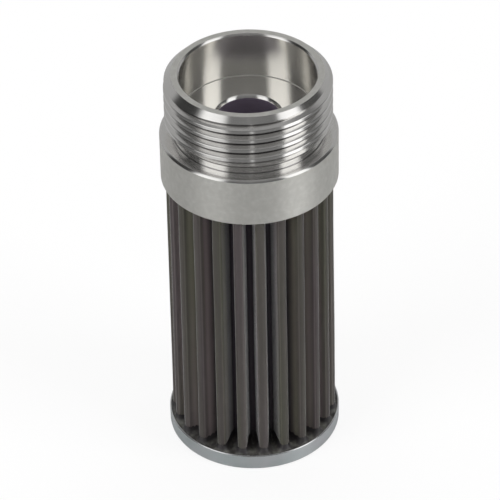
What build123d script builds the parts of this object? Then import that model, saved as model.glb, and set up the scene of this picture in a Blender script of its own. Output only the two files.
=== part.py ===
from build123d import *
from math import acos, degrees, radians, tan
import os

# Threaded oil filter element, in millimetres. The axis is Z and the origin is the centre of the
# bottom cap's lower face. Oil passes the pleated mesh inwards, goes through the windows of the
# core tube and leaves by the throat and the bore of the threaded neck.

# Whole element
overall_height = 118.0
body_diameter = 48.0

# Threaded neck, turned from bar, with an M45 x 3 thread
thread_diameter = 45.0
thread_pitch = 3.0
thread_crest = 0.93
thread_angle = 60.0
thread_chamfer = 2.1
neck_length = 18.2
relief_width = 2.0
relief_depth = 2.2
neck_wall = 4.3
bore_depth = 13.4
bore_chamfer = 0.5
throat_diameter = 17.0
throat_chamfer = 0.75
collar_height = 14.0
collar_chamfer = 0.6
collar_wall = 1.0
recess_depth = 8.0

# Bottom cap, pressed from sheet
cap_height = 4.8
cap_wall = 0.6
cap_chamfer = 0.5

# Pleated mesh, one strip of layered wire cloth folded to and fro, its ends lapped on one flank
pleat_count = 24
mesh_thickness = 0.9
tip_fold_radius = 1.4
root_fold_radius = 0.65
first_pleat_angle = -99.0
seam_pleat = 12
seam_setback = 0.5

# Core tube, rolled from punched sheet
core_diameter = 28.0
core_wall = 1.0
window_width = 5.0
window_height = 20.0
windows_around = 6
window_row_pitch = 26.0
window_margin = 6.0

# Adhesive that holds the mesh and the core, in the cap and in the neck's recess
lower_bed_depth = 3.8
upper_bed_depth = 3.0

# Clearances
mesh_to_recess = 0.1
mesh_to_core = 0.1

# Radii and heights that follow from the sizes above
body_radius = body_diameter / 2
thread_radius = thread_diameter / 2
relief_radius = thread_radius - relief_depth
bore_radius = thread_radius - neck_wall
throat_radius = throat_diameter / 2
core_radius = core_diameter / 2
recess_radius = body_radius - collar_wall
shoulder_z = overall_height - neck_length
relief_top_z = shoulder_z + relief_width
floor_z = overall_height - bore_depth
collar_bottom_z = shoulder_z - collar_height
recess_top_z = collar_bottom_z + recess_depth
upper_bed_z = recess_top_z - upper_bed_depth
lower_bed_z = cap_wall + lower_bed_depth
mesh_height = upper_bed_z - lower_bed_z

# The thread's grooves, as many as fit on the cylinder of its crests
crest_bottom_z = relief_top_z + relief_depth
crest_top_z = overall_height - thread_chamfer
thread_middle_z = (crest_bottom_z + crest_top_z) / 2
groove_width = thread_pitch - thread_crest
groove_depth = groove_width / 2 / tan(radians(thread_angle / 2))
groove_count = int((crest_top_z - crest_bottom_z - groove_width) // thread_pitch) + 1

# Centres of a tip fold and of the root fold beside it, for a pleat that points along X
pleat_pitch = 360 / pleat_count
tip_centre = Vector(recess_radius - mesh_to_recess - tip_fold_radius, 0)
root_centre = Vector(core_radius + mesh_to_core + mesh_thickness + root_fold_radius, 0)
root_centre = root_centre.rotate(Axis.Z, pleat_pitch / 2)

# A flank is the crossing tangent of the two folds, so its normal stands at a fixed angle to the
# line between their centres, whichever side of the mesh is drawn.
centre_line = root_centre - tip_centre
normal_turn = degrees(acos((tip_fold_radius + root_fold_radius) / centre_line.length))
flank_normal = centre_line.normalized().rotate(Axis.Z, -normal_turn)


def left_flank(inset):
    """Ends of a pleat's left flank, at its tip and at its root, this far inside its outer side."""
    tip_end = tip_centre + flank_normal * (tip_fold_radius - inset)
    root_end = root_centre - flank_normal * (root_fold_radius + inset)
    return tip_end, root_end


def mirrored(point):
    """The same point on the pleat's right flank."""
    return Vector(point.X, -point.Y)


os.makedirs("parts", exist_ok=True)

with BuildPart() as pleated_mesh:
    with BuildSketch(Plane.XY.offset(lower_bed_z)):
        # The outer side of the mesh bounds a face, and the inner side is cut out of it.
        for inset, mode in ((0, Mode.ADD), (mesh_thickness, Mode.SUBTRACT)):
            tip_end, root_end = left_flank(inset)
            tip_top = tip_centre + Vector(tip_fold_radius - inset, 0)
            root_foot = root_centre - root_centre.normalized() * (root_fold_radius + inset)
            with BuildLine():
                for pleat in range(pleat_count):
                    here = first_pleat_angle + pleat_pitch * pleat
                    beside = here + pleat_pitch
                    right_tip = mirrored(tip_end).rotate(Axis.Z, here)
                    left_tip = tip_end.rotate(Axis.Z, here)
                    left_root = root_end.rotate(Axis.Z, here)
                    next_root = mirrored(root_end).rotate(Axis.Z, beside)
                    next_tip = mirrored(tip_end).rotate(Axis.Z, beside)
                    ThreePointArc(right_tip, tip_top.rotate(Axis.Z, here), left_tip)
                    Line(left_tip, left_root)
                    ThreePointArc(left_root, root_foot.rotate(Axis.Z, here), next_root)
                    Line(next_root, next_tip)
            make_face(mode=mode)
        # At the seam, the strip's last flank lies on its first one.
        lap_tip, lap_root = left_flank(0)
        lap_root = lap_root + (lap_tip - lap_root).normalized() * seam_setback
        lap_side = flank_normal * mesh_thickness
        lap_corners = (lap_tip, lap_root, lap_root + lap_side, lap_tip + lap_side)
        seam_angle = first_pleat_angle + pleat_pitch * seam_pleat
        with BuildLine():
            Polyline([corner.rotate(Axis.Z, seam_angle) for corner in lap_corners], close=True)
        make_face()
    extrude(amount=mesh_height)

# Each turn of the thread is drawn as a ring, so its crests stay one true cylinder.
thread_grooves = []
for turn in range(groove_count):
    groove_z = thread_middle_z + (turn - (groove_count - 1) / 2) * thread_pitch
    thread_grooves.append((thread_radius, groove_z - groove_width / 2))
    thread_grooves.append((thread_radius - groove_depth, groove_z))
    thread_grooves.append((thread_radius, groove_z + groove_width / 2))

with BuildPart() as threaded_neck:
    with BuildSketch(Plane.XZ):
        with BuildLine():
            Polyline(
                (recess_radius, collar_bottom_z),
                (body_radius, collar_bottom_z),
                (body_radius, shoulder_z - collar_chamfer),
                (body_radius - collar_chamfer, shoulder_z),
                (relief_radius, shoulder_z),
                (relief_radius, relief_top_z),
                (thread_radius, crest_bottom_z),
                *thread_grooves,
                (thread_radius, crest_top_z),
                (thread_radius - thread_chamfer, overall_height),
                (bore_radius + bore_chamfer, overall_height),
                (bore_radius, overall_height - bore_chamfer),
                (bore_radius, floor_z),
                (throat_radius + throat_chamfer, floor_z),
                (throat_radius, floor_z - throat_chamfer),
                (throat_radius, recess_top_z),
                (recess_radius, recess_top_z),
                close=True,
            )
        make_face()
    revolve(axis=Axis.Z)

with BuildPart() as bottom_cap:
    Cylinder(body_radius, cap_height, align=(Align.CENTER, Align.CENTER, Align.MIN))
    chamfer(bottom_cap.edges().group_by(Axis.Z)[0], cap_chamfer)
    with BuildSketch(Plane.XY.offset(cap_wall)):
        Circle(body_radius - cap_wall)
    extrude(amount=cap_height, mode=Mode.SUBTRACT)

with BuildPart() as core_tube:
    with BuildSketch(Plane.XY.offset(lower_bed_z)):
        Circle(core_radius)
        Circle(core_radius - core_wall, mode=Mode.SUBTRACT)
    extrude(amount=recess_top_z - lower_bed_z)
    span = recess_top_z - lower_bed_z - 2 * window_margin - window_height
    rows = int(span // window_row_pitch) + 1
    middle_z = (recess_top_z + lower_bed_z) / 2
    for row in range(rows):
        row_z = middle_z + (row - (rows - 1) / 2) * window_row_pitch
        row_turn = row % 2 * 180 / windows_around
        with Locations((0, 0, row_z)):
            with PolarLocations(core_radius, windows_around, start_angle=row_turn):
                Box(4 * core_wall, window_width, window_height, mode=Mode.SUBTRACT)

with BuildPart() as lower_adhesive:
    with BuildSketch(Plane.XY.offset(cap_wall)):
        Circle(body_radius - cap_wall)
    extrude(amount=lower_bed_depth)

with BuildPart() as upper_adhesive:
    with BuildSketch(Plane.XY.offset(upper_bed_z)):
        Circle(recess_radius)
        Circle(core_radius, mode=Mode.SUBTRACT)
    extrude(amount=upper_bed_depth)

threaded_neck.part.label = "threaded_neck"
bottom_cap.part.label = "bottom_cap"
pleated_mesh.part.label = "pleated_mesh"
core_tube.part.label = "core_tube"
lower_adhesive.part.label = "lower_adhesive"
upper_adhesive.part.label = "upper_adhesive"

export_step(threaded_neck.part, "parts/threaded_neck.step")
export_step(bottom_cap.part, "parts/bottom_cap.step")
export_step(pleated_mesh.part, "parts/pleated_mesh.step")
export_step(core_tube.part, "parts/core_tube.step")
export_step(lower_adhesive.part, "parts/lower_adhesive.step")
export_step(upper_adhesive.part, "parts/upper_adhesive.step")
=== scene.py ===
from math import acos, atan2, cos, degrees, exp, pi, radians, sin, tan

import bmesh
import bpy
from mathutils import Matrix, Vector


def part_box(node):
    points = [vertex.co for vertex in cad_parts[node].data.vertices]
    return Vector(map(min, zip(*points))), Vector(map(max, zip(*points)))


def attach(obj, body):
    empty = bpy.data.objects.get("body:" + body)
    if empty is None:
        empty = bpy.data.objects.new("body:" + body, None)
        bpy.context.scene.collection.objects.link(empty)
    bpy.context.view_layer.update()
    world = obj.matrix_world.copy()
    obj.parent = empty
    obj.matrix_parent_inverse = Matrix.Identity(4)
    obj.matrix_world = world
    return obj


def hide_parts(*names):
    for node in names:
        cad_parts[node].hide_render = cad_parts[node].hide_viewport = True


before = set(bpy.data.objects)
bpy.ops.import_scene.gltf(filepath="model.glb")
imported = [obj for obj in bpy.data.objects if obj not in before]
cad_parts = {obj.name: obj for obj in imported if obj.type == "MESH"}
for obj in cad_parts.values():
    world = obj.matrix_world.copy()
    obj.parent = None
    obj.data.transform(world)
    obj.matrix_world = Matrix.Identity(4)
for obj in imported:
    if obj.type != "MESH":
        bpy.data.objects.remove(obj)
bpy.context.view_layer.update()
MM = 0.001


# Core tube: rolled from punched steel sheet, it stops the mesh from folding inwards under the
# oil's pressure. It stands on the adhesive in the cap and ends in the neck. Its solid stays.
core_greys = (0.36, 0.35, 0.34), (0.58, 0.57, 0.55)
roll_line_spacing, roll_line_depth = 0.3 * MM, 0.01 * MM


def put(tree, kind, inputs=None, **settings):
    """Adds a node with these settings; an input is a plain value or another node's output."""
    made = tree.nodes.new(kind)
    for key, value in settings.items():
        setattr(made, key, value)
    for key, value in (inputs or {}).items():
        if isinstance(value, bpy.types.NodeSocket):
            tree.links.new(value, made.inputs[key])
        else:
            made.inputs[key].default_value = value
    return made


def maths(tree, operation, *values):
    """The result of one sum, in a material's tree or in a Geometry Nodes tree."""
    made = put(tree, "ShaderNodeMath", dict(enumerate(values)), operation=operation)
    return made.outputs[0]


def start_material(name, colour, metallic, roughness):
    """A material with one Principled shader, its tree, and the object coordinates in it."""
    material = bpy.data.materials.new(name)
    material.use_nodes = True
    tree = material.node_tree
    shader = tree.nodes["Principled BSDF"]
    shader.inputs["Base Color"].default_value = (*colour, 1)
    shader.inputs["Metallic"].default_value = metallic
    shader.inputs["Roughness"].default_value = roughness
    place = put(tree, "ShaderNodeTexCoord").outputs["Object"]
    return material, tree, shader, place


def noise(tree, place, scale, detail):
    """Soft patches between 0 and 1, about this many to the metre."""
    made = put(tree, "ShaderNodeTexNoise", {"Vector": place, "Scale": scale, "Detail": detail})
    return made.outputs["Fac"]


def shades(tree, factor, dark, light):
    """A colour between dark and light, either of which may be another node's output."""
    made = put(tree, "ShaderNodeMix", {"Factor": factor}, data_type="RGBA")
    for socket, colour in (made.inputs[6], dark), (made.inputs[7], light):
        if isinstance(colour, bpy.types.NodeSocket):
            tree.links.new(colour, socket)
        else:
            socket.default_value = (*colour, 1)
    return made.outputs[2]


def raised(tree, height, depth):
    """A bump of this depth, in metres, from a height between 0 and 1."""
    bump = put(tree, "ShaderNodeBump", {"Height": height, "Strength": 1.0, "Distance": depth})
    return bump.outputs["Normal"]


def coat(tree, shader, colour, bump):
    """Gives the shader its colour and its bump."""
    tree.links.new(colour, shader.inputs["Base Color"])
    tree.links.new(bump, shader.inputs["Normal"])


def about_axis(tree, place):
    """How far a place is from the axis, and how high it is."""
    axes = put(tree, "ShaderNodeSeparateXYZ", {"Vector": place}).outputs
    flat = put(tree, "ShaderNodeCombineXYZ", {"X": axes["X"], "Y": axes["Y"]}).outputs[0]
    reach = put(tree, "ShaderNodeVectorMath", {0: flat}, operation="LENGTH").outputs["Value"]
    return reach, axes["Z"]


def ring_lines(tree, place, spacing):
    """Fine lines round the axis, as a cutting tool or a roller leaves them, from 0 to 1."""
    reach, height = about_axis(tree, place)
    lines = put(tree, "ShaderNodeCombineXYZ", {
        "X": maths(tree, "DIVIDE", reach, spacing),
        "Z": maths(tree, "DIVIDE", height, spacing),
    })
    return noise(tree, lines.outputs[0], scale=1.0, detail=2.0)


core_steel, tree, shader, place = start_material(
    "punched_steel", (0.5, 0.49, 0.47), metallic=0.5, roughness=0.45)
blotched = shades(tree, noise(tree, place, scale=260.0, detail=4.0), *core_greys)
rolled = raised(tree, ring_lines(tree, place, roll_line_spacing), roll_line_depth)
coat(tree, shader, blotched, rolled)

core_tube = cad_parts["core_tube"]
core_tube.data.materials.clear()
core_tube.data.materials.append(core_steel)


# Pleated mesh: one strip of layered stainless wire cloth, folded to and fro round the core and
# lapped on itself at a seam. Its ends stand in the adhesive of the cap and of the neck.
pleat_count = 24
first_pleat_angle = radians(-99.0)
cloth_thickness = 0.9 * MM
tip_centre_radius = 21.65 * MM
tip_fold_radius = 1.25 * MM
root_centre_radius = 15.65 * MM
root_fold_radius = 0.65 * MM
pinch = 0.16
pinch_height = 2.6 * MM
seam_pleat = 12
seam_setback = 0.5 * MM
tip_steps, flank_steps, root_steps, height_steps = 9, 7, 5, 30
weld_distance = 0.01 * MM
fold_edge = radians(40)

cloth_low, cloth_high = (corner.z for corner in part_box("pleated_mesh"))
cloth_height = cloth_high - cloth_low
half_pitch = pi / pleat_count
tip_centre = Vector((tip_centre_radius, 0, 0))
root_centre = Matrix.Rotation(half_pitch, 3, "Z") @ Vector((root_centre_radius, 0, 0))
centre_line = root_centre - tip_centre
flank_turn = atan2(centre_line.y, centre_line.x)
flank_turn -= acos((tip_fold_radius + root_fold_radius) / centre_line.length)


def on_arc(centre, radius, angle):
    """The point at this angle of an arc, seen from above."""
    return centre + radius * Vector((cos(angle), sin(angle), 0))


def half_fold(inset):
    """Half a pleat, from the top of its tip to the foot of the root beside it, seen from above."""
    tip_radius = tip_fold_radius - inset
    root_radius = root_fold_radius + inset
    points = [on_arc(tip_centre, tip_radius, flank_turn * step / tip_steps) for step in range(tip_steps)]
    start = on_arc(tip_centre, tip_radius, flank_turn)
    end = on_arc(root_centre, root_radius, flank_turn + pi)
    points += [start.lerp(end, step / flank_steps) for step in range(flank_steps)]
    foot = pi + half_pitch
    for step in range(root_steps + 1):
        angle = flank_turn + pi + (foot - flank_turn - pi) * step / root_steps
        points.append(on_arc(root_centre, root_radius, angle))
    return points


def whole_fold(inset):
    """A whole pleat from root to root: half a pleat and its mirror image, seen from above."""
    left = half_fold(inset)
    right = [Vector((point.x, -point.y, 0)) for point in reversed(left[1:])]
    return right + left


def pinched(point, height):
    """A pleat is nipped together near both of its ends, where it goes into the adhesive."""
    from_end = min(height - cloth_low, cloth_high - height)
    towards_tip = (point.x - root_centre_radius) / (tip_centre_radius - root_centre_radius)
    nip = pinch * exp(-from_end / pinch_height) * min(1, max(0, towards_tip))
    return Vector((point.x, point.y * (1 - nip), height))


def one_fold():
    """The cloth of one pleat: an outer and an inner side, and both cut ends. Its UV map is the
    flat strip, and its levels lie closer together near both ends, where it is pinched."""
    sides = whole_fold(0), whole_fold(cloth_thickness)
    steps_along = len(sides[0])
    walked = [0.0]
    for last, here in zip(sides[0], sides[0][1:]):
        walked.append(walked[-1] + (here - last).length)
    points, along = [], []
    for side in sides:
        for level in range(height_steps + 1):
            height = cloth_low + cloth_height * (1 - cos(pi * level / height_steps)) / 2
            points += [pinched(point, height) for point in side]
            along += [(distance, height) for distance in walked]

    def index(side, level, step):
        return (side * (height_steps + 1) + level) * steps_along + step

    faces = []
    for step in range(steps_along - 1):
        for level in range(height_steps):
            outer = [index(0, level, step), index(0, level, step + 1),
                     index(0, level + 1, step + 1), index(0, level + 1, step)]
            inner = [index(1, level, step + 1), index(1, level, step),
                     index(1, level + 1, step), index(1, level + 1, step + 1)]
            faces += [outer, inner]
        faces.append([index(0, height_steps, step), index(0, height_steps, step + 1),
                      index(1, height_steps, step + 1), index(1, height_steps, step)])
        faces.append([index(0, 0, step + 1), index(0, 0, step), index(1, 0, step), index(1, 0, step + 1)])
    mesh = bpy.data.meshes.new("one_fold")
    mesh.from_pydata(points, [], faces)
    strip = mesh.uv_layers.new(name="strip")
    for loop in mesh.loops:
        distance, height = along[loop.vertex_index]
        strip.data[loop.index].uv = (distance / walked[-1], height / cloth_height)
    return bpy.data.objects.new("folded_mesh", mesh)


def seam_lap():
    """The strip's last flank, which lies on the first one, as a thin flat slab."""
    tip = on_arc(tip_centre, tip_fold_radius, flank_turn)
    root = on_arc(root_centre, root_fold_radius, flank_turn + pi)
    root += (tip - root).normalized() * seam_setback
    side = cloth_thickness * Vector((cos(flank_turn), sin(flank_turn), 0))
    turn = Matrix.Rotation(first_pleat_angle + 2 * half_pitch * seam_pleat, 3, "Z")
    ring = [turn @ point for point in (tip, root, root + side, tip + side)]
    points = [Vector((point.x, point.y, height)) for height in (cloth_low, cloth_high) for point in ring]
    faces = [(3, 2, 1, 0), (4, 5, 6, 7)]
    faces += [(edge, (edge + 1) % 4, (edge + 1) % 4 + 4, edge + 4) for edge in range(4)]
    mesh = bpy.data.meshes.new("seam_lap")
    mesh.from_pydata(points, [], faces)
    return bpy.data.objects.new("seam_lap", mesh)


def ramp(tree, value, start, end, low=0.0, high=1.0, **settings):
    """Goes from low to high as the value goes from start to end, and is level before and after."""
    made = put(tree, "ShaderNodeMapRange", {
        "Value": value, "From Min": start, "From Max": end, "To Min": low, "To Max": high,
    }, **settings)
    return made.outputs["Result"]


def vectors(tree, operation, *values):
    """The result of one sum of vectors. A plain number in it counts for all three axes."""
    made = put(tree, "ShaderNodeVectorMath", dict(enumerate(values)), operation=operation)
    return made.outputs[0]


def long_noise(tree, place, grain, detail):
    """Noise with its own number of patches to the metre along each axis."""
    stretched = put(tree, "ShaderNodeMapping", {"Vector": place, "Scale": grain}).outputs[0]
    return noise(tree, stretched, scale=1.0, detail=detail)


# The cloth's wires run along the strip and across it, under fine upright streaks. No two pleats
# have quite the same grey: some lean to olive, and some to a warm brown.
wires_along, wires_up, wire_depth = 56, 288, 0.03 * MM
streak_grain, pleat_grain = (900.0, 900.0, 14.0), (190.0, 190.0, 9.0)
pleat_contrast = 0.35, 0.65
olive_greys = (0.065, 0.065, 0.047), (0.120, 0.120, 0.088)
brown_greys = (0.070, 0.058, 0.060), (0.130, 0.108, 0.110)
# A painted shade for the cloth deep in the folds.
painted_fold_shade_grey = (0.072, 0.06, 0.074)

wire_cloth, tree, shader, place = start_material(
    "wire_cloth", (0.085, 0.083, 0.076), metallic=0.25, roughness=0.5)
shader.inputs["Sheen Weight"].default_value = 1.0
shader.inputs["Sheen Roughness"].default_value = 0.26
strip = put(tree, "ShaderNodeUVMap", uv_map="strip").outputs["UV"]
strip_place = put(tree, "ShaderNodeSeparateXYZ", {"Vector": strip}).outputs
across = maths(tree, "SINE", maths(tree, "MULTIPLY", strip_place["X"], wires_along * pi))
upwards = maths(tree, "SINE", maths(tree, "MULTIPLY", strip_place["Y"], wires_up * pi))
weave = maths(tree, "ABSOLUTE", maths(tree, "MULTIPLY", across, upwards))
streak = long_noise(tree, place, streak_grain, detail=3.0)
olive, brown = shades(tree, streak, *olive_greys), shades(tree, streak, *brown_greys)
patch = ramp(tree, long_noise(tree, place, pleat_grain, detail=1.0), *pleat_contrast)

# Painted light and shade: the tips are darker and the flanks lighter, as the light falls on them,
# a painted highlight runs beside each tip, and painted shade darkens the cloth deep in the folds.
# These places are shares of a pleat's flat length, from the middle of its tip.
tip_end, flank_start = 0.08, 0.16
crease, crease_core, crease_edge = 0.069, 0.005, 0.014
fold_shade_start, fold_shade_end = 0.19, 0.33
tip_shade_tone, flank_light_tone, crease_highlight_tone = 0.85, 2.7, 1.7

from_tip = maths(tree, "ABSOLUTE", maths(tree, "SUBTRACT", strip_place["X"], 0.5))
from_crease = maths(tree, "ABSOLUTE", maths(tree, "SUBTRACT", from_tip, crease))
# Painted light: darker tips, lighter flanks, and a painted highlight line beside each tip.
painted_flank_light = ramp(tree, from_tip, tip_end, flank_start, tip_shade_tone, flank_light_tone)
painted_crease_highlight = ramp(tree, from_crease, crease_core, crease_edge, crease_highlight_tone, 1.0)
tone_and_painted_light = vectors(tree, "MULTIPLY", shades(tree, patch, olive, brown), maths(tree, "MULTIPLY", painted_flank_light, painted_crease_highlight))
# Painted shade deep in the folds.
painted_fold_shade = ramp(tree, from_tip, fold_shade_start, fold_shade_end)
coat(tree, shader, shades(tree, painted_fold_shade, tone_and_painted_light, painted_fold_shade_grey), raised(tree, weave, wire_depth))


def new_tree(name, sockets):
    """An empty Geometry Nodes tree with a mesh in, a mesh out and these named inputs."""
    tree = bpy.data.node_groups.new(name, "GeometryNodeTree")
    tree.interface.new_socket("Mesh", in_out="INPUT", socket_type="NodeSocketGeometry")
    tree.interface.new_socket("Mesh", in_out="OUTPUT", socket_type="NodeSocketGeometry")
    for label, kind in sockets.items():
        tree.interface.new_socket(label, in_out="INPUT", socket_type="NodeSocket" + kind)
    return tree, put(tree, "NodeGroupInput").outputs, put(tree, "NodeGroupOutput").inputs


def smoothed(tree, geometry, angle):
    """Shades smooth, but for edges that turn by more than this angle."""
    turn = put(tree, "GeometryNodeInputMeshEdgeAngle").outputs["Unsigned Angle"]
    faces = put(tree, "GeometryNodeSetShadeSmooth", {"Geometry": geometry, "Shade Smooth": True})
    return put(tree, "GeometryNodeSetShadeSmooth", {
        "Geometry": faces.outputs[0],
        "Selection": maths(tree, "GREATER_THAN", turn, angle),
        "Shade Smooth": False,
    }, domain="EDGE").outputs[0]


def realised(tree, geometry):
    """Turns instances into plain mesh."""
    return put(tree, "GeometryNodeRealizeInstances", {"Geometry": geometry}).outputs[0]


def clad(tree, geometry, material, where=True):
    """Gives this material to all faces, or to those that are chosen."""
    return put(tree, "GeometryNodeSetMaterial", {
        "Geometry": geometry, "Selection": where, "Material": material,
    }).outputs[0]


def keep_result(piece, modifier):
    """Makes what the modifier shows the piece's own plain mesh, and removes the modifier."""
    shown = piece.evaluated_get(bpy.context.evaluated_depsgraph_get())
    made = bpy.data.meshes.new_from_object(shown)
    made.name = piece.name
    piece.modifiers.remove(modifier)
    piece.data = made


def run_tree(piece, tree, values):
    """Gives the tree its named inputs, and keeps what it makes of the piece."""
    bpy.context.scene.collection.objects.link(piece)
    modifier = piece.modifiers.new(tree.name, "NODES")
    modifier.node_group = tree
    for socket in tree.interface.items_tree:
        if socket.in_out == "INPUT" and socket.name in values:
            modifier[socket.identifier] = values[socket.name]
    keep_result(piece, modifier)


# One pleat is set round the core as often as there are pleats, the pleats are welded at their
# roots, and the seam's lap is laid on.
folding, given, result = new_tree("fold_cloth", {
    "Pleats": "Int", "First angle": "Float", "Seam lap": "Object", "Flare": "Float",
    "Large turn": "Float", "Small turn": "Float", "Front spread": "Float", "Front opening": "Float",
    "Lean": "Float", "Waviness": "Float", "Cloth": "Material",
})
number = put(folding, "GeometryNodeInputIndex").outputs[0]
pitch = maths(folding, "DIVIDE", 2 * pi, given["Pleats"])
turn = maths(folding, "MULTIPLY_ADD", number, pitch, given["First angle"])
placed = put(folding, "GeometryNodeInstanceOnPoints", {
    "Points": put(folding, "GeometryNodePoints", {"Count": given["Pleats"]}).outputs[0],
    "Instance": given["Mesh"],
    "Rotation": put(folding, "ShaderNodeCombineXYZ", {"Z": turn}).outputs[0],
}).outputs[0]
merged = put(folding, "GeometryNodeMergeByDistance", {
    "Geometry": realised(folding, placed), "Distance": weld_distance,
}).outputs[0]
lap = put(folding, "GeometryNodeObjectInfo", {"Object": given["Seam lap"]}).outputs["Geometry"]
both = put(folding, "GeometryNodeJoinGeometry")
folding.links.new(lap, both.inputs[0])
folding.links.new(merged, both.inputs[0])

# The pleats stand a little unevenly. The whole strip leans and is turned to and fro, its pleats
# stand wider apart at the front and open there towards their roots, and each waves as it rises.
wave_grain = (110.0, 110.0, 22.0)
spot = put(folding, "GeometryNodeInputPosition").outputs[0]
axes = put(folding, "ShaderNodeSeparateXYZ", {"Vector": spot}).outputs
from_front = maths(folding, "ADD", maths(folding, "ARCTAN2", axes["Y"], axes["X"]), pi / 2)


def waves_round(kind, count, start=0.0):
    """A wave that rises and falls so many times on the way round, counted from the front."""
    return maths(folding, kind, maths(folding, "MULTIPLY_ADD", from_front, count, start))


inwards = ramp(folding, about_axis(folding, spot)[0], tip_centre_radius, root_centre_radius)
uneven = given["Lean"]
for swing, amount in (
    (waves_round("COSINE", 3.0, start=0.656), "Large turn"),
    (waves_round("COSINE", 5.0), "Small turn"),
    (waves_round("SINE", 2.0), "Front spread"),
    (maths(folding, "MULTIPLY", waves_round("SINE", 6.0), inwards), "Front opening"),
):
    uneven = maths(folding, "MULTIPLY_ADD", swing, given[amount], uneven)
turned = put(folding, "ShaderNodeVectorRotate", {"Vector": spot, "Angle": uneven}, rotation_type="Z_AXIS")

up = maths(folding, "DIVIDE", maths(folding, "SUBTRACT", axes["Z"], cloth_low), cloth_height)
flare = maths(folding, "MULTIPLY", maths(folding, "SUBTRACT", 0.5, up), given["Flare"])
spread = maths(folding, "ADD", flare, 1.0)
widths = put(folding, "ShaderNodeCombineXYZ", {"X": spread, "Y": spread, "Z": 1.0}).outputs[0]
wave = put(folding, "ShaderNodeTexNoise", {
    "Vector": vectors(folding, "MULTIPLY", spot, wave_grain), "Scale": 1.0, "Detail": 1.0,
}).outputs["Color"]
sideways = put(folding, "ShaderNodeCombineXYZ", {"X": given["Waviness"], "Y": given["Waviness"]}).outputs[0]
moved = vectors(folding, "MULTIPLY", vectors(folding, "SUBTRACT", wave, (0.5, 0.5, 0.5)), sideways)
flared = vectors(folding, "MULTIPLY", turned.outputs[0], widths)
bent = put(folding, "GeometryNodeSetPosition", {
    "Geometry": both.outputs[0],
    "Position": vectors(folding, "ADD", flared, moved),
}).outputs[0]
whole = realised(folding, smoothed(folding, bent, fold_edge))
folding.links.new(clad(folding, whole, given["Cloth"]), result["Mesh"])

folded_mesh = one_fold()
lap_slab = seam_lap()
run_tree(folded_mesh, folding, {
    "Pleats": pleat_count, "First angle": first_pleat_angle, "Seam lap": lap_slab, "Flare": 0.02,
    "Large turn": radians(1.38), "Small turn": radians(-0.51), "Front spread": radians(2.2),
    "Front opening": radians(3.0), "Lean": radians(-0.7), "Waviness": 0.35 * MM, "Cloth": wire_cloth,
})
bpy.data.objects.remove(lap_slab)
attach(folded_mesh, "root")
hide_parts("pleated_mesh")


# Bottom cap: a shallow cup pressed from thin aluminium sheet, with a round lower corner and a
# bright rim where the sheet was trimmed. The element stands on it.
cap_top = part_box("bottom_cap")[1]
cap_radius, cap_height = cap_top.x / MM, cap_top.z / MM
cap_wall = 0.6
pressed_corner, inside_corner, rim_round = 0.7, 0.1, 0.29
cap_steps = 256
pressed_edge = radians(40)
sheet_greys, sheet_contrast = ((0.39, 0.43, 0.435), (0.49, 0.5, 0.52)), (0.3, 0.7)
press_line_spacing, press_line_depth = 0.5 * MM, 0.006 * MM


def rounded_outline(corners, step_angle=18):
    """A closed outline from corners (radius, height, fillet) in mm, each rounded by its fillet."""
    points = []
    for number, (radius, height, fillet) in enumerate(corners):
        here = Vector((radius, height))
        back = (Vector(corners[number - 1][:2]) - here).normalized()
        ahead = (Vector(corners[(number + 1) % len(corners)][:2]) - here).normalized()
        half_angle = acos(max(-1, min(1, back.dot(ahead)))) / 2
        if not fillet:
            points.append(here)
            continue
        centre = here + (back + ahead).normalized() * fillet / sin(half_angle)
        start = here + back * fillet / tan(half_angle) - centre
        end = here + ahead * fillet / tan(half_angle) - centre
        sweep = pi - 2 * half_angle
        steps = max(2, round(degrees(sweep) / step_angle))
        for step in range(steps + 1):
            share = step / steps
            arm = start * sin((1 - share) * sweep) + end * sin(share * sweep)
            points.append(centre + arm / sin(sweep))
    return points


def turned_mesh(name, outline, steps):
    """A closed mesh of the outline, in mm, turned about Z. Points on the axis become poles."""
    made = bmesh.new()
    angles = [2 * pi * step / steps for step in range(steps)]
    rings = []
    for radius, height in outline:
        if radius < 1e-6:
            rings.append([made.verts.new((0, 0, height * MM))] * steps)
            continue
        rings.append([
            made.verts.new((radius * cos(angle) * MM, radius * sin(angle) * MM, height * MM))
            for angle in angles
        ])
    for ring, other in zip(rings, rings[1:] + rings[:1]):
        for step in range(steps):
            after = (step + 1) % steps
            corners = dict.fromkeys((ring[step], other[step], other[after], ring[after]))
            if len(corners) > 2:
                made.faces.new(corners)
    bmesh.ops.recalc_face_normals(made, faces=made.faces)
    mesh = bpy.data.meshes.new(name)
    made.to_mesh(mesh)
    made.free()
    return bpy.data.objects.new(name, mesh)


def flat_faces_first(piece, sharp):
    """Shades smooth, but keeps the flat and cylindrical faces true beside their small fillets."""
    piece.data.shade_smooth()
    piece.data.set_sharp_from_angle(angle=sharp)
    weighted = piece.modifiers.new("weighted", "WEIGHTED_NORMAL")
    weighted.keep_sharp = True
    keep_result(piece, weighted)


# The sheet is clouded, with faint lines from the press tool. The trimmed edge is bare and bright.
pressed_sheet, tree, shader, place = start_material(
    "pressed_sheet", (0.5, 0.52, 0.53), metallic=0.45, roughness=0.48)
clouds = ramp(tree, noise(tree, place, scale=75.0, detail=4.0), *sheet_contrast)
pressed = raised(tree, ring_lines(tree, place, press_line_spacing), press_line_depth)
coat(tree, shader, shades(tree, clouds, *sheet_greys), pressed)
trimmed_edge = start_material("trimmed_edge", (0.8, 0.81, 0.82), metallic=1.0, roughness=0.22)[0]

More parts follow.
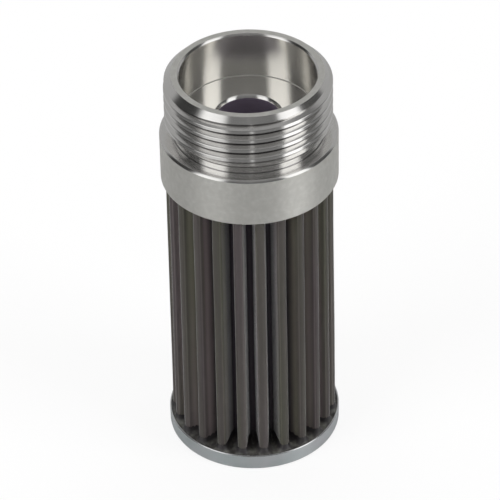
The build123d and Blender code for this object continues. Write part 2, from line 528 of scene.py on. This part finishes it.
pressed_cap = turned_mesh("pressed_cap", rounded_outline([
    (0, 0, 0),
    (cap_radius, 0, pressed_corner),
    (cap_radius, cap_height, rim_round),
    (cap_radius - cap_wall, cap_height, rim_round),
    (cap_radius - cap_wall, cap_wall, inside_corner),
    (0, cap_wall, 0),
]), cap_steps)
pressed_cap.data.materials.append(pressed_sheet)
bpy.context.scene.collection.objects.link(pressed_cap)
flat_faces_first(pressed_cap, pressed_edge)
pressed_cap.data.materials.append(trimmed_edge)
for face in pressed_cap.data.polygons:
    if face.center.z > (cap_height - rim_round) * MM:
        face.material_index = 1
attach(pressed_cap, "root")
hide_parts("bottom_cap")


# Lower adhesive: epoxy poured into the cap. The cloth stands in it, and it creeps up the pleats
# as a small meniscus before it sets hard and dark.
bed_low, bed_high = (corner.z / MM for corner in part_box("lower_adhesive"))
bed_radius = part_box("lower_adhesive")[1].x / MM
bed_rings, bed_steps = 56, 480
ring_crowding = 1.3
meniscus_rise, meniscus_reach = 2.6 * MM, 0.55 * MM
probe_height, surface_play = 1.0 * MM, 0.05 * MM
bed_edge = radians(60)
bed_colours, speck_contrast = ((0.055, 0.051, 0.05), (0.185, 0.185, 0.165)), (0.38, 0.68)
meniscus_colour = (0.034, 0.031, 0.033)
climb_start, climb_end = 0.3, 1.2
bed_roughness_depth = 0.15 * MM

# Specks of filler show in the bed. The epoxy is darker where it climbs up the cloth, and the specks fade
# there.
epoxy, tree, shader, place = start_material(
    "set_epoxy", (0.06, 0.06, 0.052), metallic=0.0, roughness=0.42)
drift = noise(tree, place, scale=520.0, detail=4.0)
speckled = shades(tree, ramp(tree, drift, *speck_contrast), *bed_colours)
climb_darkening = ramp(tree, about_axis(tree, place)[1], (bed_high + climb_start) * MM, (bed_high + climb_end) * MM)
darker_up_the_cloth = shades(tree, climb_darkening, speckled, meniscus_colour)
coat(tree, shader, darker_up_the_cloth, raised(tree, drift, bed_roughness_depth))

# The bed's upper face rises towards the cloth, the more the nearer it is.
pouring, given, result = new_tree("pour_adhesive", {
    "Cloth": "Object", "Bed": "Float", "Rise": "Float", "Reach": "Float", "Adhesive": "Material",
})
spot = put(pouring, "GeometryNodeInputPosition").outputs[0]
axes = put(pouring, "ShaderNodeSeparateXYZ", {"Vector": spot}).outputs
cloth = put(pouring, "GeometryNodeObjectInfo", {"Object": given["Cloth"]}).outputs["Geometry"]
probe = put(pouring, "ShaderNodeCombineXYZ", {
    "X": axes["X"], "Y": axes["Y"], "Z": maths(pouring, "ADD", given["Bed"], probe_height),
}).outputs[0]
near = put(pouring, "GeometryNodeProximity", {"Geometry": cloth, "Sample Position": probe})
reaches = maths(pouring, "MULTIPLY", near.outputs["Distance"], -1.0)
fall = maths(pouring, "EXPONENT", maths(pouring, "DIVIDE", reaches, given["Reach"]))
lift = maths(pouring, "MULTIPLY", fall, given["Rise"])
just_under = maths(pouring, "SUBTRACT", given["Bed"], surface_play)
wetted = put(pouring, "GeometryNodeSetPosition", {
    "Geometry": given["Mesh"],
    "Selection": maths(pouring, "GREATER_THAN", axes["Z"], just_under),
    "Offset": put(pouring, "ShaderNodeCombineXYZ", {"Z": lift}).outputs[0],
}).outputs[0]
whole = realised(pouring, smoothed(pouring, wetted, bed_edge))
pouring.links.new(clad(pouring, whole, given["Adhesive"]), result["Mesh"])

# The rings of the bed lie closer together towards the cap's wall, where the pleats' tips are.
bed_outline = [(0, bed_low), (bed_radius, bed_low)]
for ring in range(bed_rings + 1):
    bed_outline.append((bed_radius * (1 - (ring / bed_rings) ** ring_crowding), bed_high))
cap_adhesive = turned_mesh("cap_adhesive", bed_outline, bed_steps)
run_tree(cap_adhesive, pouring, {
    "Cloth": folded_mesh, "Bed": bed_high * MM, "Rise": meniscus_rise, "Reach": meniscus_reach,
    "Adhesive": epoxy,
})
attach(cap_adhesive, "root")
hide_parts("lower_adhesive")


# Upper adhesive: the same epoxy, set in the neck's recess. It bonds the upper ends of the mesh
# and of the core to the neck. Its solid stays.
upper_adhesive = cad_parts["upper_adhesive"]
upper_adhesive.data.materials.clear()
upper_adhesive.data.materials.append(epoxy)


# Threaded neck: turned from one bar, with a counterbored mouth, a coarse right-hand thread that
# runs out into a relief groove, and a collar whose recess takes the mesh and the core.
neck_low, neck_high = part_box("threaded_neck")
top, collar_bottom, collar_radius = neck_high.z / MM, neck_low.z / MM, neck_high.x / MM
thread_radius = 22.5
thread_pitch = 3.0
thread_depth = 1.58
crest_flat = 0.93
root_flat = 0.25
lead_chamfer = 2.1
neck_length = 18.2
relief_width, relief_depth = 2.0, 2.2
bore_radius, bore_depth = 18.2, 13.4
throat_radius = 8.5
recess_radius, recess_depth = 23.0, 8.0
collar_chamfer, mouth_chamfer, throat_chamfer = 0.6, 0.5, 0.75
neck_steps, thread_steps = 360, 180
crisp_edge = radians(28)

# The helix starts on the +X side and rises towards +Y. So many turns later it is at the front,
# where it cuts the root of the thread's top groove at this height.
front_root = 115.95
groove_turns, turns_to_front_root = 6.0, 4.75

shoulder = top - neck_length
relief_radius = thread_radius - relief_depth
relief_top = shoulder + relief_width
crest_bottom = relief_top + relief_depth
bore_floor = top - bore_depth
recess_top = collar_bottom + recess_depth


def turned_metal(name, dark, light, metallic, roughness, anisotropy, spacing, depth):
    """Metal with the fine rings that a lathe tool leaves, with its tree, shader, object
    coordinates and colour."""
    quarter_turn = 0.25
    material, tree, shader, place = start_material(name, light, metallic, roughness)
    shader.inputs["Anisotropic"].default_value = anisotropy
    shader.inputs["Anisotropic Rotation"].default_value = quarter_turn
    tangent = put(tree, "ShaderNodeTangent", direction_type="RADIAL", axis="Z").outputs[0]
    tree.links.new(tangent, shader.inputs["Tangent"])
    lines = ring_lines(tree, place, spacing)
    colour = shades(tree, lines, dark, light)
    coat(tree, shader, colour, raised(tree, lines, depth))
    return material, tree, shader, place, colour


# The collar's side, the lip and a ring at the bore's foot are a grainy satin.
dark_grain, pale_grain, grain_contrast = (0.572, 0.567, 0.536), (0.644, 0.639, 0.608), (0.3, 0.7)
satin_metal, tree, shader, place, colour = turned_metal(
    "satin_turned_metal", dark=(0.54, 0.535, 0.505), light=(0.665, 0.66, 0.623),
    metallic=0.65, roughness=0.5, anisotropy=0.3, spacing=0.25 * MM, depth=0.008 * MM)
grain = ramp(tree, noise(tree, place, scale=700.0, detail=3.0), *grain_contrast)
grainy = shades(tree, grain, dark_grain, shades(tree, grain, colour, pale_grain))
tree.links.new(grainy, shader.inputs["Base Color"])

# The bore is finely turned, and the throat below it is a dull drilled hole.
bored_metal = turned_metal(
    "bored_metal", dark=(0.82, 0.805, 0.77), light=(0.96, 0.945, 0.905),
    metallic=0.95, roughness=0.2, anisotropy=0.88, spacing=0.2 * MM, depth=0.003 * MM)[0]
bored_shader = bored_metal.node_tree.nodes["Principled BSDF"]
bored_shader.inputs["Specular Tint"].default_value = (0.33, 0.33, 0.33, 1)
drilled_metal = turned_metal(
    "drilled_metal", dark=(0.26, 0.21, 0.29), light=(0.38, 0.32, 0.42),
    metallic=0.5, roughness=0.5, anisotropy=0.3, spacing=0.3 * MM, depth=0.01 * MM)[0]

# All the rest is bright from the tool. Painted shade darkens the very root of the thread and both
# corners of the relief groove, and the groove is a little duller.
# A painted shade for the thread's root and the groove's corners.
painted_shade_grey = (0.28, 0.27, 0.27)
root_shade_width, shade_fade = 0.5, 0.15
corner_shade_width, corner_shade_end = 0.12, 0.3
relief_dullness = 0.04
bright_metal, tree, shader, place, colour = turned_metal(
    "bright_turned_metal", dark=(0.76, 0.75, 0.73), light=(0.9, 0.89, 0.87),
    metallic=1.0, roughness=0.17, anisotropy=0.75, spacing=0.2 * MM, depth=0.003 * MM)
reach, height = about_axis(tree, place)
root_shade_edge = thread_radius - thread_depth + root_shade_width
below_thread = maths(tree, "LESS_THAN", height, crest_bottom * MM)
unshaded = ramp(tree, reach, (root_shade_edge - shade_fade) * MM, root_shade_edge * MM)
for bare in (
    maths(tree, "LESS_THAN", reach, relief_radius * MM),
    below_thread,
    maths(tree, "GREATER_THAN", height, (top - lead_chamfer) * MM),
):
    unshaded = maths(tree, "MAXIMUM", unshaded, bare)
outwards = maths(tree, "ABSOLUTE", maths(tree, "SUBTRACT", reach, relief_radius * MM))
for corner_height in shoulder, relief_top:
    upwards = maths(tree, "ABSOLUTE", maths(tree, "SUBTRACT", height, corner_height * MM))
    from_corner = maths(tree, "MAXIMUM", outwards, upwards)
    clear = ramp(tree, from_corner, corner_shade_width * MM, corner_shade_end * MM)
    unshaded = maths(tree, "MINIMUM", unshaded, clear)
# The painted shade goes into the base colour here.
tree.links.new(shades(tree, unshaded, painted_shade_grey, colour), shader.inputs["Base Color"])
inside_edge = maths(tree, "LESS_THAN", reach, (collar_radius - collar_chamfer) * MM)
in_relief = maths(tree, "MULTIPLY", below_thread, inside_edge)
tree.links.new(maths(tree, "MULTIPLY_ADD", in_relief, -relief_dullness, 1.0), shader.inputs["Metallic"])

# A groove tool is led up the helix and cuts the turned blank. Each face then gets its finish.
threading, given, result = new_tree("cut_thread", {
    "Groove": "Object", "Pitch": "Float", "Turns": "Float", "Radius": "Float", "Start": "Float",
    "Steps": "Int", "Collar radius": "Float", "Shoulder": "Float", "Lip": "Float",
    "Bore radius": "Float", "Bore floor": "Float", "Corner radius": "Float", "Corner top": "Float",
    "Throat radius": "Float",
    "Bright": "Material", "Satin": "Material", "Bored": "Material", "Drilled": "Material",
})
helix = put(threading, "GeometryNodeCurveSpiral", {
    "Resolution": given["Steps"],
    "Rotations": given["Turns"],
    "Start Radius": given["Radius"],
    "End Radius": given["Radius"],
    "Height": maths(threading, "MULTIPLY", given["Pitch"], given["Turns"]),
    "Reverse": True,
}).outputs[0]
upright = put(threading, "GeometryNodeSetCurveNormal", {"Curve": helix}, mode="Z_UP").outputs[0]
groove = put(threading, "GeometryNodeObjectInfo", {"Object": given["Groove"]}).outputs["Geometry"]
swept = put(threading, "GeometryNodeCurveToMesh", {
    "Curve": upright, "Profile Curve": groove, "Fill Caps": True,
}).outputs[0]
cutter = put(threading, "GeometryNodeTransform", {
    "Geometry": swept,
    "Translation": put(threading, "ShaderNodeCombineXYZ", {"Z": given["Start"]}).outputs[0],
}).outputs[0]
cut = put(threading, "GeometryNodeMeshBoolean", {
    "Mesh 1": given["Mesh"],
}, operation="DIFFERENCE", solver="MANIFOLD")
threading.links.new(cutter, cut.inputs["Mesh 2"])
whole = realised(threading, smoothed(threading, cut.outputs[0], crisp_edge))

reach, height = about_axis(threading, put(threading, "GeometryNodeInputPosition").outputs[0])
beside_collar = maths(threading, "GREATER_THAN", reach, given["Collar radius"])
below_shoulder = maths(threading, "LESS_THAN", height, given["Shoulder"])
on_collar = maths(threading, "MULTIPLY", beside_collar, below_shoulder)
on_lip = maths(threading, "GREATER_THAN", height, given["Lip"])
inside_bore = maths(threading, "LESS_THAN", reach, given["Bore radius"])
above_floor = maths(threading, "GREATER_THAN", height, given["Bore floor"])
in_bore = maths(threading, "MULTIPLY", inside_bore, above_floor)
by_wall = maths(threading, "GREATER_THAN", reach, given["Corner radius"])
by_floor = maths(threading, "LESS_THAN", height, given["Corner top"])
in_corner = maths(threading, "MULTIPLY", maths(threading, "MULTIPLY", by_wall, by_floor), in_bore)
in_throat = maths(threading, "LESS_THAN", reach, given["Throat radius"])
finished = clad(threading, whole, given["Bright"])
for where, finish in (
    (maths(threading, "MAXIMUM", on_collar, on_lip), "Satin"),
    (in_bore, "Bored"),
    (in_corner, "Satin"),
    (in_throat, "Drilled"),
):
    finished = clad(threading, finished, given[finish], where)
threading.links.new(finished, result["Mesh"])

# The tool's outline, seen along the groove: across the helix first, then outwards from the crest.
# It breaks the crest's edges in two small steps, and stands clear above them.
half_root = root_flat / 2
half_mouth = (thread_pitch - crest_flat) / 2
flank_slope = (half_mouth - half_root) / thread_depth
edge_break = 0.09
edge_steps = (0.01, -0.035), (0.11, 0.02)
tool_clear = (0.14, 0.5)
tool = [(half_root, -thread_depth), (half_mouth - edge_break * flank_slope, -edge_break)]
tool += [(half_mouth + across, out) for across, out in (*edge_steps, tool_clear)]
tool += [(-across, out) for across, out in reversed(tool)]
tool_curve = bpy.data.curves.new("groove_tool", "CURVE")
tool_line = tool_curve.splines.new("POLY")
tool_line.points.add(len(tool) - 1)
for point, (across, out) in zip(tool_line.points, tool):
    point.co = (out * MM, -across * MM, 0, 1)
tool_line.use_cyclic_u = True
groove_tool = bpy.data.objects.new("groove_tool", tool_curve)

# The blank, corner by corner from the recess, up the outside, and down the bore and the throat.
# The last figure is the corner's own fillet, the largest where the tool's nose left it.
turned_neck = turned_mesh("turned_neck", rounded_outline([
    (recess_radius, collar_bottom, 0.08),
    (collar_radius, collar_bottom, 0.12),
    (collar_radius, shoulder - collar_chamfer, 0.05),
    (collar_radius - collar_chamfer, shoulder, 0.3),
    (relief_radius, shoulder, 0.25),
    (relief_radius, relief_top, 0.3),
    (thread_radius, crest_bottom, 0.1),
    (thread_radius, top - lead_chamfer, 0.1),
    (thread_radius - lead_chamfer, top, 0.08),
    (bore_radius + mouth_chamfer, top, 0.05),
    (bore_radius, top - mouth_chamfer, 0.05),
    (bore_radius, bore_floor, 0.22),
    (throat_radius + throat_chamfer, bore_floor, 0.06),
    (throat_radius, bore_floor - throat_chamfer, 0.06),
    (throat_radius, recess_top, 0.1),
    (recess_radius, recess_top, 0.2),
]), neck_steps)

# A finish's bounds lie a hair beside the face that has it.
collar_play, lip_play, bore_play = 0.02, 0.005, 0.1
satin_ring = 0.25
run_tree(turned_neck, threading, {
    "Groove": groove_tool, "Pitch": thread_pitch * MM, "Turns": groove_turns,
    "Radius": thread_radius * MM, "Steps": thread_steps,
    "Start": (front_root - turns_to_front_root * thread_pitch) * MM,
    "Collar radius": (collar_radius - collar_play) * MM,
    "Shoulder": (shoulder - collar_chamfer - collar_play) * MM,
    "Lip": (top - lip_play) * MM,
    "Bore radius": (bore_radius + bore_play) * MM, "Bore floor": (bore_floor - bore_play) * MM,
    "Corner radius": (bore_radius - satin_ring) * MM, "Corner top": (bore_floor + satin_ring) * MM,
    "Throat radius": (throat_radius + bore_play) * MM,
    "Bright": bright_metal, "Satin": satin_metal, "Bored": bored_metal, "Drilled": drilled_metal,
})
bpy.data.objects.remove(groove_tool)
flat_faces_first(turned_neck, crisp_edge)
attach(turned_neck, "root")
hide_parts("threaded_neck")


# Floor: a plain white sweep under the element. It keeps the element's faint shadow, and the
# metal looks past it to the studio.
floor_size = 6.0
paint, glow, glow_share = 0.85, 1.05, 0.8


def mixed(tree, share, first, second):
    """One surface or light as far as the share is 0, and the other as far as it is 1."""
    return put(tree, "ShaderNodeMixShader", {0: share, 1: first, 2: second}).outputs[0]


floor_mesh = bpy.data.meshes.new("floor")
floor_mesh.from_pydata([
    (-floor_size, -floor_size, 0), (floor_size, -floor_size, 0),
    (floor_size, floor_size, 0), (-floor_size, floor_size, 0),
], [], [(0, 1, 2, 3)])
floor = bpy.data.objects.new("floor", floor_mesh)
bpy.context.scene.collection.objects.link(floor)
sweep_paint = bpy.data.materials.new("white_sweep")
sweep_paint.use_nodes = True
tree = sweep_paint.node_tree
tree.nodes.clear()
rays = put(tree, "ShaderNodeLightPath").outputs
matt = put(tree, "ShaderNodeBsdfDiffuse", {"Color": (paint, paint, paint, 1)}).outputs[0]
white = put(tree, "ShaderNodeEmission", {"Color": (1, 1, 1, 1), "Strength": glow}).outputs[0]
clear = put(tree, "ShaderNodeBsdfTransparent").outputs[0]
looked_at = mixed(tree, rays["Is Camera Ray"], matt, mixed(tree, glow_share, matt, white))
surface = mixed(tree, rays["Is Glossy Ray"], looked_at, clear)
put(tree, "ShaderNodeOutputMaterial", {"Surface": surface})
floor_mesh.materials.append(sweep_paint)


# Studio: plain white soft light from all round, and white for the camera. What the metal mirrors
# is a grey room with a tall soft light on each side of the camera, and a dark screen past each.
back_wall, room_ceiling = (0.42, 0.38), 0.3
eye_level, ceiling_edge = (-0.2, 0.15), (0.72, 0.94)
light_lean, lean_spread, lean_foot = radians(2.8), 0.07, 0.6
light_level = 2.5

studio = bpy.data.worlds.new("studio")
bpy.context.scene.world = studio
studio.use_nodes = True
studio.cycles.sampling_method = "NONE"
tree = studio.node_tree
tree.nodes.clear()
facing = put(tree, "ShaderNodeTexCoord").outputs["Generated"]
way = put(tree, "ShaderNodeSeparateXYZ", {"Vector": facing}).outputs
bearing = maths(tree, "ARCTAN2", way["X"], maths(tree, "MULTIPLY", way["Y"], -1.0))
above = maths(tree, "ADD", way["Z"], lean_foot)
leaning = maths(tree, "MULTIPLY_ADD", above, light_lean, bearing)
leaning = maths(tree, "DIVIDE", leaning, maths(tree, "MULTIPLY_ADD", above, lean_spread, 1.0))
upper = ramp(tree, way["Z"], *eye_level)
ceiling = ramp(tree, way["Z"], *ceiling_edge)

# Each thing in the room stands between two bearings from the camera, in degrees, and has soft
# edges. It is so bright low down, and so bright higher up. Only the lights lean and spread.
around = {
    "camera_wall": (bearing, -116, 118, 4, 0.19, 0.11),
    "left_screen": (bearing, -112, -79, 3, 0.14, 0.04),
    "right_screen": (bearing, 85, 114, 3, 0.20, 0.075),
    "left_light": (leaning, -66, -30.5, 6, 0.67, 1.15),
    "right_light": (leaning, 48, 78, 2.5, 1.32, 1.25),
    "strip_light": (leaning, 2.2, 5.8, 1, 0.62, 0.17),
}


def after(seen_at, angle, softness):
    """From 0 before this bearing to 1 after it."""
    start, end = radians(angle - softness), radians(angle + softness)
    return ramp(tree, seen_at, start, end, interpolation_type="SMOOTHSTEP")


def between(share, low, high):
    """A brightness that goes from low to high."""
    return put(tree, "ShaderNodeMix", {0: share, 2: low, 3: high}).outputs[0]


def white_light(strength):
    """White light of this strength from all round."""
    return put(tree, "ShaderNodeBackground", {"Color": (1, 1, 1, 1), "Strength": strength}).outputs[0]


shade = between(upper, *back_wall)
for seen_at, start, end, softness, low, high in around.values():
    begun, ended = after(seen_at, start, softness), after(seen_at, end, softness)
    shade = between(maths(tree, "SUBTRACT", begun, ended), shade, between(upper, low, high))
shade = between(ceiling, shade, room_ceiling)
cast = white_light(maths(tree, "MULTIPLY", shade, light_level))
rays = put(tree, "ShaderNodeLightPath").outputs
lit = mixed(tree, rays["Is Glossy Ray"], cast, white_light(shade))
lit = mixed(tree, rays["Is Camera Ray"], lit, white_light(1.0))
put(tree, "ShaderNodeOutputWorld", {"Surface": lit})


# Camera: a long lens, far off in front of the element. It looks down on it and is a little
# rolled, as in the photograph.
camera_place = (-0.369 * MM, -707.4 * MM, 602.8 * MM)
look_down, roll = radians(37.553), radians(-1.198)
camera_data = bpy.data.cameras.new("camera")
camera_data.sensor_width = 36.0
camera_data.lens = 233.95
camera = bpy.data.objects.new("camera", camera_data)
bpy.context.scene.collection.objects.link(camera)
camera.matrix_world = (
    Matrix.Translation(camera_place)
    @ Matrix.Rotation(pi / 2 - look_down, 4, "X")
    @ Matrix.Rotation(roll, 4, "Z")
)
bpy.context.scene.camera = camera
bpy.context.scene.view_settings.view_transform = "Standard"
